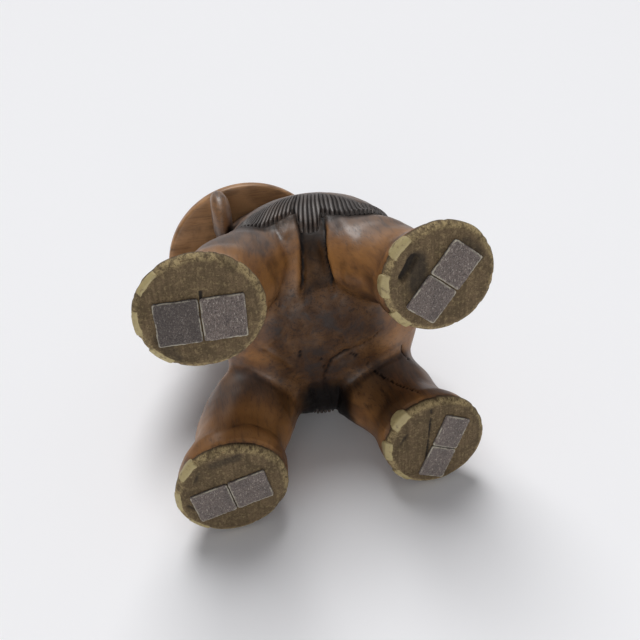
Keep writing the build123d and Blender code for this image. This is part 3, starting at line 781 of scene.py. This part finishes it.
class STOOL_OT_block(bpy.types.Operator):
    """Carve the block: torso, legs, head, trunk, ears and tail"""

    bl_idname = "stool.block"
    bl_label = "Carved block"

    def execute(self, context):
        sizes = context.scene.stool_sizes
        obj = block_base()
        mesh = voxel_mesh(obj, sizes.block_voxel)
        self.blended(mesh)
        self.refined(mesh)
        # the fringe is laid on the block as it is before its lines are cut
        reference = mesh.copy()
        reference.name = "block_reference"
        points, cut_dark = carve(points_of(mesh), normals_of(mesh), sizes, surface_tree(mesh))
        set_points(mesh, points)
        points, head_dark = head_carving(points, normals_of(mesh))
        set_points(mesh, sunk_at_soles(points))
        self.painted(mesh, np.maximum(cut_dark, head_dark))
        smoothed(mesh)
        piece(obj, ["body"], bpy.data.materials["stained_carved_hardwood"])
        return {"FINISHED"}

    def blended(self, mesh):
        """The carver's blends: wide between legs and torso, tight on the ears, tail, trunk and feet."""
        pairs = edge_pairs(mesh)
        points = points_of(mesh)
        side = np.abs(points[:, 1])
        height = points[:, 2].copy()
        head = ramp(points[:, 0], HEAD_FORE) * ramp(height, HEAD_HIGH)
        ear = ramp(side, EAR_SIDE) * ramp(height, EAR_HIGH)
        tail = ramp(side, TAIL_SIDE) * ramp(points[:, 0], TAIL_FORE)
        loose = ramp(height, FREE_OF_SOLE_HIGH) * (1 - np.maximum(head, ear) * 0.75) * (1 - tail * 0.9)
        points = blend(points, pairs, 75, loose)
        joins = ramp(points[:, 2], JOIN_HIGH_FROM, JOIN_HIGH_TO)
        joins *= 0.25 + 0.75 * ramp(points[:, 1], JOIN_LEFT)
        points = relax(points, pairs, 45, 0.5 * joins * (1 - tail))
        points = relax(points, pairs, 4, 0.5 * ramp(height, FOOT_HIGH))
        # the rump is flatter than the barrel's end
        rump = ramp(points[:, 0], RUMP_FORE) * ramp(points[:, 2], RUMP_HIGH_FROM)
        rump *= ramp(np.abs(points[:, 1]), RUMP_SIDE) * ramp(points[:, 2], RUMP_HIGH_TO)
        points[:, 0] += 0.004 * rump * (1 - tail * 0.7)
        set_points(mesh, points)
        # what the blends took off the limbs is given back
        set_points(mesh, points + normals_of(mesh) * (0.0003 * loose)[:, None])

    def refined(self, mesh):
        bm = bmesh.new()
        bm.from_mesh(mesh)
        edges = [edge for edge in bm.edges if all(needs_fine_mesh(vert.co) for vert in edge.verts)]
        bmesh.ops.subdivide_edges(bm, edges=edges, cuts=1, use_grid_fill=True)
        fine = [vert for vert in bm.verts if needs_fine_mesh(vert.co)]
        bmesh.ops.smooth_vert(bm, verts=fine, factor=0.4, use_axis_x=True, use_axis_y=True, use_axis_z=True)
        bm.to_mesh(mesh)
        bm.free()

    def painted(self, mesh, cut_dark):
        """Writes how dark the stain and the painted shade are, how worn the wood is, and how grey the stain
        and the painted sheen are at each vertex.
        """
        points, normals, pairs = points_of(mesh), normals_of(mesh), edge_pairs(mesh)
        x, y, z = points.T
        side = np.abs(y)
        seat = surface_tree(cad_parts["seat"].data)
        shut = shade_of(mesh, points, normals, seat, 16)
        shut = relax(shut, pairs, 3)
        # painted shade: the more shut in a vertex is, the darker
        dark = np.maximum(cut_dark, ramp(shut, SHADE_THAT_DARKENS) * 0.9)
        # the belly is darker; down the right flank between the legs lie stain and a painted shadow, where the
        # flank rests on the floor
        belly = ramp(z, BELLY_HIGH) * ramp(side, BELLY_SIDE) * ramp(np.abs(x + BELLY_MIDDLE), BELLY_SPAN)
        below = ramp(y, FLANK_SHADE_AND_STAIN_LEFT) * ramp(np.abs(x + FLANK_SHADE_AND_STAIN_MIDDLE), FLANK_SHADE_AND_STAIN_SPAN) * ramp(z, FLANK_SHADE_AND_STAIN_HIGH)
        dark = np.maximum(dark, np.maximum(belly * 0.55, below * 0.97))
        # stain gathers in hollows and is rubbed off bulges and legs; the rubbed colour is held back as
        # painted shade where a vertex is shut in
        bend = neighbour_mean(points, pairs) - points
        bulge = relax(-(bend * normals).sum(axis=1), pairs, 6)
        legs = ramp(z, LEG_HIGH_FROM, LEG_HIGH_TO) * (1 - belly)
        dark = np.maximum(dark, ramp(-bulge, HOLLOW_THAT_DARKENS) * 0.45 * ramp(z, CREASE_HIGH))
        worn = np.clip(ramp(bulge, BULGE_THAT_WEARS) * 0.55 + legs * 0.6, 0, 1) * (1 - shut)
        # painted shade: the rubbed colour is dimmed on the left sides, which face the window lamp
        worn *= 1 - 0.6 * ramp(normals[:, 1], FACING_LIGHT_DIMMED) * ramp(z, LIT_SIDE_HIGH)
        # grey stain and a painted grey sheen around the fringe, and a painted grey sheen on the left sides,
        # which face the window lamp
        strand = strand_of(x, z)
        over_hem = z - height_of(HEM_LOW, strand)
        sheen_and_grey_stain = ramp(over_hem, GREY_UNDER_HEM) * ramp(side, GREY_SIDE) * 0.7
        sheen_and_grey_stain *= 1 - 0.65 * ramp(z - height_of(HEM_HIGH, strand), GREY_OVER_FRINGE)
        sheen_and_grey_stain = np.maximum(sheen_and_grey_stain, 0.5 * ramp(normals[:, 1], FACING_LIGHT_SHEEN) * ramp(z, LIT_SIDE_HIGH))
        # painted shade on the block just under the fringe's hem
        shade_under_hem = ramp(over_hem, HEM_SHADE_UNDER, HEM_SHADE_OVER) * ramp(side, HEM_SHADE_SIDE)
        dark = np.maximum(dark, 0.62 * shade_under_hem * ramp(x, HEM_SHADE_FORE_FROM, HEM_SHADE_FORE_TO))
        set_attribute(mesh, "dark", dark)
        set_attribute(mesh, "worn", worn * (1 - sheen_and_grey_stain))
        set_attribute(mesh, "sheen_and_grey_stain", sheen_and_grey_stain)


# ---------------------------------------------------------------- the fringe of the blanket

# the strands' foremost and rearmost place along X at LEAN_LEVEL
FRINGE_FRONT = 0.098
FRINGE_BACK = -0.133
COLUMNS_PER_STRAND = 8
STRAND_ROWS = 30
STRAND_PROUD = 0.0019
# the hem and both ends of the fringe dip this far below the block's skin, so that no gap shows
STRAND_SUNK = 0.0022
FRINGE_THICK = 0.005


class STOOL_OT_fringe(bpy.types.Operator):
    """Cut the strands of the blanket's fringe on both flanks"""

    bl_idname = "stool.fringe"
    bl_label = "Blanket fringe"

    def execute(self, context):
        sizes = context.scene.stool_sizes
        surface = surface_tree(bpy.data.meshes["block_reference"])
        for side, word in ((1, "left"), (-1, "right")):
            obj = self.fringe(sizes, surface, side, word)
            piece(obj, ["body"], bpy.data.materials["stained_carved_hardwood"])
        return {"FINISHED"}

    def fringe(self, sizes, surface, side, word):
        """A sheet of strands that hugs the flank: its outer skin, and an inner one pushed into the block."""
        strands = round((FRINGE_FRONT - FRINGE_BACK) / sizes.fringe_pitch)
        bm = bmesh.new()
        bmesh.ops.create_grid(bm, x_segments=strands * COLUMNS_PER_STRAND, y_segments=STRAND_ROWS, size=0.5)
        dark = {}
        for vert in bm.verts:
            along, down = vert.co.x + 0.5, 0.5 - vert.co.y
            x, z, proud, stain = self.strand_place(sizes, strands, along, down, side)
            hit, normal, _, _ = surface.ray_cast(Vector((x, side * 0.3, z)), Vector((0, -side, 0)))
            if hit is None:
                raise RuntimeError("the fringe misses the flank")
            vert.co = hit + normal * proud
            dark[vert.index] = stain
        bmesh.ops.recalc_face_normals(bm, faces=bm.faces)
        if sum(face.normal.y * side for face in bm.faces) < 0:
            bmesh.ops.reverse_faces(bm, faces=bm.faces)
        values = bm.verts.layers.float.new("dark")
        bm.verts.ensure_lookup_table()
        for vert in bm.verts:
            vert[values] = dark[vert.index]
        inner = bmesh.ops.extrude_face_region(bm, geom=bm.faces[:], use_keep_orig=True)["geom"]
        inner = [item for item in inner if isinstance(item, bmesh.types.BMVert)]
        bmesh.ops.translate(bm, verts=inner, vec=(0, -side * FRINGE_THICK, 0))
        obj = object_from(f"blanket_fringe_{word}", bm)
        mesh = obj.data
        set_attribute(mesh, "worn", np.zeros(len(mesh.vertices)))
        # the strands are grey: grey stain with a painted grey sheen
        set_attribute(mesh, "sheen_and_grey_stain", np.full(len(mesh.vertices), 0.85))
        return obj

    def strand_place(self, sizes, strands, along, down, side):
        """X, Z, height over the flank and darkness at a place of the fringe, given as shares from 0 to 1."""
        strand = min(int(along * strands), strands - 1)
        # 0 in the middle of a strand, 1 in the cuts beside it
        off_middle = abs(2 * (along * strands - strand) - 1)
        uneven = noise.noise(Vector((strand * 1.7, side * 3.0, 0)))
        wave = noise.noise(Vector((along * 9.0, down * 2.0, side * 5.0))) * 0.0012
        place = FRINGE_FRONT + (FRINGE_BACK - FRINGE_FRONT) * along
        low = float(height_of(HEM_LOW, place)) + uneven * 0.0025
        top = float(height_of(HEM_HIGH, place)) + 0.003
        z = top - (top - low) * down
        x = place - float(lean_of(place)) * (z - LEAN_LEVEL) + wave * down * (1 - down) * 4
        cut = off_middle ** 4
        cut_starts = max(0.0, min(1.0, (down - 0.13 - 0.05 * uneven) / 0.12))
        strand_stops = max(0.0, min(1.0, (1.0 - 0.12 * off_middle ** 2 - down) / 0.05))
        proud = STRAND_PROUD * min(1.0, down / 0.1) + 0.0004
        proud -= sizes.fringe_depth * cut * cut_starts
        ends = max(0.0, min(1.0, min(along, 1 - along) * strands / 0.6))
        proud = -STRAND_SUNK + (proud + STRAND_SUNK) * strand_stops * ends
        stain = min(1.0, max(0.0, 0.44 + 0.2 * uneven + cut * cut_starts * 0.6))
        return x, z, proud, stain


# ---------------------------------------------------------------- the soles

# the turned section of a sole, from its middle out and up: shares of the radius, and heights over the felt
SOLE_FLAT_SHARE = 0.89
SOLE_RIM = (
    (0.915, 0.0005), (0.95, 0.0018), (0.98, 0.0036), (0.996, 0.0056), (1.002, 0.0078), (0.998, 0.0095),
    (0.985, 0.0112), (0.9, 0.0116), (0.0, 0.0116),
)


class STOOL_OT_soles(bpy.types.Operator):
    """Turn the bare end-grain soles with their bevelled rims"""

    bl_idname = "stool.soles"
    bl_label = "Soles"

    def execute(self, context):
        for foot, (x, y, radius_x, radius_y) in SOLES.items():
            profile = [(0, 0)] + [(share, 0) for share in np.linspace(0.03, SOLE_FLAT_SHARE, 34)]
            profile += SOLE_RIM
            bm = turned([(share, SOLE_Z + height) for share, height in profile], 120)
            bmesh.ops.scale(bm, verts=bm.verts, vec=(radius_x, radius_y, 1))
            bmesh.ops.translate(bm, verts=bm.verts, vec=(x, y, 0))
            obj = object_from(f"sole_{foot}", bm)
            self.weather(obj.data, foot, x, y, radius_x, radius_y)
            piece(obj, ["body"], bpy.data.materials["bare_end_grain"])
        return {"FINISHED"}

    def weather(self, mesh, foot, x, y, radius_x, radius_y):
        """Chips the rim, wears the face uneven and opens cracks."""
        seed = FEET.index(foot) + 1
        flat = [1, 1, 0]
        points = points_of(mesh)
        share = np.hypot((points[:, 0] - x) / radius_x, (points[:, 1] - y) / radius_y)
        chips = np.clip(rough(points * [1, 1, 0.3], 0.007, seed, 3) - 0.15, 0, 1)
        broad = rough(points * flat, 0.03, seed + 9, 2)
        at_rim = smooth_step(0.9, 0.97, share)
        pull = 1 - at_rim * (chips * 0.036 + broad * 0.014)
        points[:, 0] = x + (points[:, 0] - x) * pull
        points[:, 1] = y + (points[:, 1] - y) * pull
        face = points[:, 2] < SOLE_Z + 0.003
        worn = np.clip(rough(points, 0.012, seed + 20, 3), 0, 1) * 0.0007 + at_rim * chips * 0.0022
        points[:, 2] += np.where(face, worn, 0)
        # the sole's back edge is dark, where it meets the block
        dark = smooth_step(0.0085, 0.011, points[:, 2] - SOLE_Z) * 0.85
        for place, end, width, depth, stain in CRACKS[foot]:
            line = np.array([(*place, 0.0), (*end, 0.0)]) * MM
            bend = rough(points * flat, 0.012, seed + 31, 2) * 0.0012
            away = line_distance(points * flat, line)[0] + bend
            hole = smooth_step(width * MM / 2, width * MM / 5, away)
            points[:, 2] += np.where(face, hole * depth * MM, 0)
            dark = np.maximum(dark, np.where(face, hole * stain, 0))
        set_points(mesh, points)
        rim = smooth_step(0.87, 0.94, share + broad * 0.03) * (points[:, 2] < SOLE_Z + 0.0065)
        set_attribute(mesh, "rim", rim)
        set_attribute(mesh, "dark", dark)


# ---------------------------------------------------------------- nails, tusks, eyes, felt, seat

def softened(name, node, voxel, rounds, shrink=0.0):
    """A copy of a small solid with its edges rubbed round."""
    obj = link(name, mesh_from(name, solid_of(node)))
    mesh = voxel_mesh(obj, voxel)
    mesh.name = name
    set_points(mesh, relax(points_of(mesh), edge_pairs(mesh), rounds))
    set_points(mesh, points_of(mesh) - normals_of(mesh) * shrink)
    smoothed(mesh)
    return obj


class STOOL_OT_nails(bpy.types.Operator):
    """Fit the pale inlaid toenails"""

    bl_idname = "stool.nails"
    bl_label = "Toenails"

    def execute(self, context):
        for seed, node in enumerate(NAILS):
            obj = softened(node + "_slip", node, 0.0008, 5, 0.0004)
            mesh = obj.data
            points = points_of(mesh)
            points += normals_of(mesh) * (rough(points, 0.006, seed, 2) * 0.0003)[:, None]
            set_points(mesh, points)
            pairs = edge_pairs(mesh)
            bend = ((points - relax(points, pairs, 10)) * normals_of(mesh)).sum(axis=1)
            set_attribute(mesh, "edge", smooth_step(0.00015, 0.0006, relax(bend, pairs, 2)))
            piece(obj, [node], bpy.data.materials["sanded_pale_inlay"])
        return {"FINISHED"}


class STOOL_OT_tusks(bpy.types.Operator):
    """Finish the tusks, the eye beads and the dowels"""

    bl_idname = "stool.tusks"
    bl_label = "Tusks, eyes and dowels"

    def execute(self, context):
        for word in ("left", "right"):
            obj = softened(f"tusk_{word}_ivory_wood", f"tusk_{word}", 0.0008, 6)
            set_attribute(obj.data, "edge", np.zeros(len(obj.data.vertices)))
            piece(obj, [f"tusk_{word}"], bpy.data.materials["sanded_pale_inlay"])
            obj = softened(f"eye_{word}_bead", f"eye_{word}", 0.0004, 8)
            piece(obj, [f"eye_{word}"], bpy.data.materials["polished_black_bead"])
        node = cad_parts["seat_dowels"]
        node.data.materials.clear()
        node.data.materials.append(bpy.data.materials["plain_beech"])
        return {"FINISHED"}


class STOOL_OT_felt(bpy.types.Operator):
    """Lay the felt pieces on the soles"""

    bl_idname = "stool.felt"
    bl_label = "Felt pads"

    def execute(self, context):
        for seed, node in enumerate(PADS):
            worn = node == "felt_pad_front_left_a"
            obj = softened(node + "_cut", node, 0.0009, 3)
            mesh = obj.data
            points = points_of(mesh)
            fuzz = rough(points, 0.0022, seed, 3)
            sag = rough(points * [1, 1, 0], 0.02, seed + 40, 2)
            pairs = edge_pairs(mesh)
            # scissor-cut corners, rubbed round where the piece is worn; its outline is then let out again
            rounded = relax(points, pairs, 34 if worn else 4)
            points[:, :2] = rounded[:, :2]
            points += normals_of(mesh) * (fuzz * 0.00028)[:, None]
            middle = points.mean(axis=0)
            out = points[:, :2] - middle[:2]
            let_out = 0.035 if worn else 0.008
            points[:, :2] += out * (sag * 0.03 + let_out)[:, None]
            points[:, 2] = np.clip(points[:, 2], 0.0, SOLE_Z)
            set_points(mesh, points)
            bend = ((points - relax(points, pairs, 14)) * normals_of(mesh)).sum(axis=1)
            # only the edge of the face that touches the floor frays
            down = smooth_step(0.0012, 0.0002, points[:, 2])
            set_attribute(mesh, "edge", smooth_step(0.00012, 0.0004, relax(bend, pairs, 2)) * down)
            piece(obj, [node], bpy.data.materials["worn_wool_felt" if worn else "wool_felt"])
        return {"FINISHED"}


class STOOL_OT_seat(bpy.types.Operator):
    """Turn the round seat"""

    bl_idname = "stool.seat"
    bl_label = "Seat"

    def execute(self, context):
        sizes = context.scene.stool_sizes
        low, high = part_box("seat")
        radius = (high[0] - low[0]) / 2
        middle = (low[0] + high[0]) / 2
        soft = 0.005
        top = sizes.seat_round
        # the underside and its soft edge
        profile = [(0.0, SEAT_LOW)] + [(r, SEAT_LOW) for r in np.linspace(0.012, radius - soft, 12)]
        for step in range(1, 6):
            turn = math.pi / 2 * step / 6
            profile.append((radius - soft + soft * math.sin(turn), SEAT_LOW + soft - soft * math.cos(turn)))
        # the wall and the round of the top edge
        profile += [(radius, SEAT_LOW + soft), (radius, SEAT_HIGH - top)]
        for step in range(1, 9):
            turn = math.pi / 2 * step / 9
            profile.append((radius - top + top * math.cos(turn), SEAT_HIGH - top + top * math.sin(turn)))
        # a scored line and a shallow dish inside it
        inner = radius - top
        dish = SEAT_HIGH - 0.0008
        profile += [(inner, SEAT_HIGH), (inner - 0.004, SEAT_HIGH), (inner - 0.0052, SEAT_HIGH - 0.0014)]
        profile += [(inner - 0.0064, SEAT_HIGH), (inner - 0.012, SEAT_HIGH)]
        profile += [(r, dish) for r in np.linspace(inner - 0.02, 0.012, 11)] + [(0.0, dish)]
        bm = turned(profile, 180)
        bmesh.ops.translate(bm, verts=bm.verts, vec=(middle, 0, 0))
        obj = object_from("turned_seat", bm)
        mesh = obj.data
        points = points_of(mesh)
        share = np.hypot(points[:, 0] - middle, points[:, 1]) / radius
        edge = smooth_step(0.955, 0.985, share)
        under = smooth_step(SEAT_LOW + 0.004, SEAT_LOW, points[:, 2])
        # the underside is darker around the saddle
        saddle_x, saddle_radius = -0.01, 0.1
        near = np.hypot((points[:, 0] - saddle_x) / saddle_radius, points[:, 1] / saddle_radius)
        # painted light: the whole underside is lightened; the edge is lighter too
        set_attribute(mesh, "worn", np.maximum(edge * 0.8, under * 0.7))
        set_attribute(mesh, "dark", under * smooth_step(1.2, 0.95, near) * 0.12)
        piece(obj, ["seat"], bpy.data.materials["stained_seat_board"])
        return {"FINISHED"}


# ---------------------------------------------------------------- stage

# the sky's level on the stool, and where the camera sees it
ROOM_FILL = 0.22
SEEN_SKY = 0.89
# The plane that the stool lies on when it is laid on its right side: it touches the flank, the right ear
# and the rim of the rear right foot. Its normal points to the stool.
REST_NORMAL = Vector((0.0243, 0.9948, -0.0989))
REST_POINT = Vector((-0.0502, -0.1432, 0.178))
# the camera stands below the soles and looks along the stool to its seat
CAMERA_PLACE = Vector((0.0960, 0.3403, -0.4882))
CAMERA_AIM = Vector((-0.1781, -0.4623, 0.8687))
CAMERA_RIGHT = Vector((-0.9694, -0.0691, -0.2356))
SENSOR_WIDTH = 36
LENS = 33.75


class STOOL_OT_stage(bpy.types.Operator):
    """Set the floor that the stool lies on, the soft light and the camera"""

    bl_idname = "stool.stage"
    bl_label = "Stage"

    def execute(self, context):
        scene = context.scene
        bm = bmesh.new()
        bmesh.ops.create_grid(bm, x_segments=1, y_segments=1, size=60.0)
        turn = Vector((0, 0, 1)).rotation_difference(REST_NORMAL).to_matrix().to_4x4()
        bmesh.ops.transform(bm, verts=bm.verts, matrix=Matrix.Translation(REST_POINT) @ turn)
        floor = link("floor", mesh_from("floor", bm))
        # matt white, and clear from behind, so that views from under the floor aren't blocked
        material, tree, shader = new_material("matt_white_floor")
        feed(shader, {"Base Color": hex_colour("#F5F5F7"), "Roughness": 0.9})
        output = next(node for node in tree.nodes if node.type == "OUTPUT_MATERIAL")
        back = add_node(tree, "ShaderNodeNewGeometry").outputs["Backfacing"]
        clear = add_node(tree, "ShaderNodeBsdfTransparent").outputs[0]
        shown = add_node(tree, "ShaderNodeMixShader", {0: back, 1: shader.outputs[0], 2: clear}).outputs[0]
        feed(output, {"Surface": shown})
        floor.data.materials.append(material)
        world = bpy.data.worlds.new("pale_room")
        scene.world = world
        world.use_nodes = True
        tree = world.node_tree
        tree.nodes.clear()
        path = add_node(tree, "ShaderNodeLightPath")
        seen_inputs = {0: path.outputs["Is Camera Ray"], 1: path.outputs["Is Transmission Ray"]}
        seen = add_node(tree, "ShaderNodeMath", seen_inputs, operation="MAXIMUM").outputs[0]
        levels = {0: seen, 1: SEEN_SKY - ROOM_FILL, 2: ROOM_FILL}
        strength = add_node(tree, "ShaderNodeMath", levels, operation="MULTIPLY_ADD").outputs[0]
        sky = add_node(tree, "ShaderNodeBackground", {"Color": hex_colour("#FAFBFF"), "Strength": strength})
        add_node(tree, "ShaderNodeOutputWorld", {"Surface": sky.outputs[0]})
        self.lamp("window", way=(0.0, 1.0, 0.42), power=2.38, softness=34)
        self.lamp("room", way=(0.22, 0.0, -0.97), power=1.5, softness=44)
        camera = bpy.data.objects.new("camera", bpy.data.cameras.new("camera"))
        scene.collection.objects.link(camera)
        right = CAMERA_RIGHT.normalized()
        back = -CAMERA_AIM.normalized()
        up = back.cross(right).normalized()
        right = up.cross(back)
        turn = Matrix((right, up, back)).transposed().to_4x4()
        camera.matrix_world = Matrix.Translation(CAMERA_PLACE) @ turn
        camera.data.sensor_width = SENSOR_WIDTH
        camera.data.lens = LENS
        camera.data.clip_start = 0.01
        scene.camera = camera
        scene.view_settings.view_transform = "Standard"
        return {"FINISHED"}

    def lamp(self, name, way, power, softness):
        """Soft daylight from the direction given; softness is the width of its source in degrees."""
        data = bpy.data.lights.new(name, "SUN")
        data.energy = power
        data.angle = math.radians(softness)
        obj = bpy.data.objects.new(name, data)
        bpy.context.scene.collection.objects.link(obj)
        obj.rotation_euler = (-Vector(way)).to_track_quat("-Z", "Y").to_euler()


class STOOL_OT_finishes(bpy.types.Operator):
    """Mix the finishes"""

    bl_idname = "stool.finishes"
    bl_label = "Finishes"

    def execute(self, context):
        colours = context.scene.stool_colours
        block = (colours.wood_light, colours.wood_mid, colours.wood_dark)
        board = (colours.seat_light, colours.seat_mid, colours.seat_dark)
        wood_material("stained_carved_hardwood", block, colours, (1, 1, 0.1))
        wood_material("stained_seat_board", board, colours, (0.08, 1, 1))
        end_grain_material("bare_end_grain", colours)
        inlay_material("sanded_pale_inlay", colours)
        felt_material("wool_felt", colours, 0.0)
        felt_material("worn_wool_felt", colours, 0.6)
        # a turned bead of black hardwood, polished bright; and a machined beech dowel, bare and matt
        close_grained_material("polished_black_bead", "#0C0907", "#241A14", 1.4286, (1, 1, 0.2), 3, 0.18)
        close_grained_material("plain_beech", "#8A6A42", "#C7A877", 2.0, (1, 1, 0.08), 4, 0.7)
        return {"FINISHED"}


class STOOL_PT_panel(bpy.types.Panel):
    """Lists the stool's sizes and colours, and a button for each piece"""

    bl_label = "Carved elephant stool"
    bl_idname = "STOOL_PT_panel"
    bl_space_type = "VIEW_3D"
    bl_region_type = "UI"
    bl_category = "Stool"

    def draw(self, context):
        layout = self.layout
        for group in (context.scene.stool_sizes, context.scene.stool_colours):
            for key in group.bl_rna.properties.keys():
                if key not in ("rna_type", "name"):
                    layout.prop(group, key)
        for operator in OPERATORS:
            layout.operator(operator.bl_idname)


OPERATORS = (
    STOOL_OT_finishes,
    STOOL_OT_block,
    STOOL_OT_fringe,
    STOOL_OT_soles,
    STOOL_OT_nails,
    STOOL_OT_tusks,
    STOOL_OT_felt,
    STOOL_OT_seat,
    STOOL_OT_stage,
)
CLASSES = (StoolSizes, StoolColours, *OPERATORS, STOOL_PT_panel)


def register():
    for item in CLASSES:
        bpy.utils.register_class(item)
    bpy.types.Scene.stool_sizes = bpy.props.PointerProperty(type=StoolSizes)
    bpy.types.Scene.stool_colours = bpy.props.PointerProperty(type=StoolColours)


def unregister():
    del bpy.types.Scene.stool_colours
    del bpy.types.Scene.stool_sizes
    for item in reversed(CLASSES):
        bpy.utils.unregister_class(item)


def main():
    register()
    bpy.ops.stool.finishes()
    bpy.ops.stool.block()
    bpy.ops.stool.fringe()
    bpy.ops.stool.soles()
    bpy.ops.stool.nails()
    bpy.ops.stool.tusks()
    bpy.ops.stool.felt()
    bpy.ops.stool.seat()
    bpy.ops.stool.stage()
    bpy.data.meshes.remove(bpy.data.meshes["block_reference"])


if __name__ == "__main__":
    main()
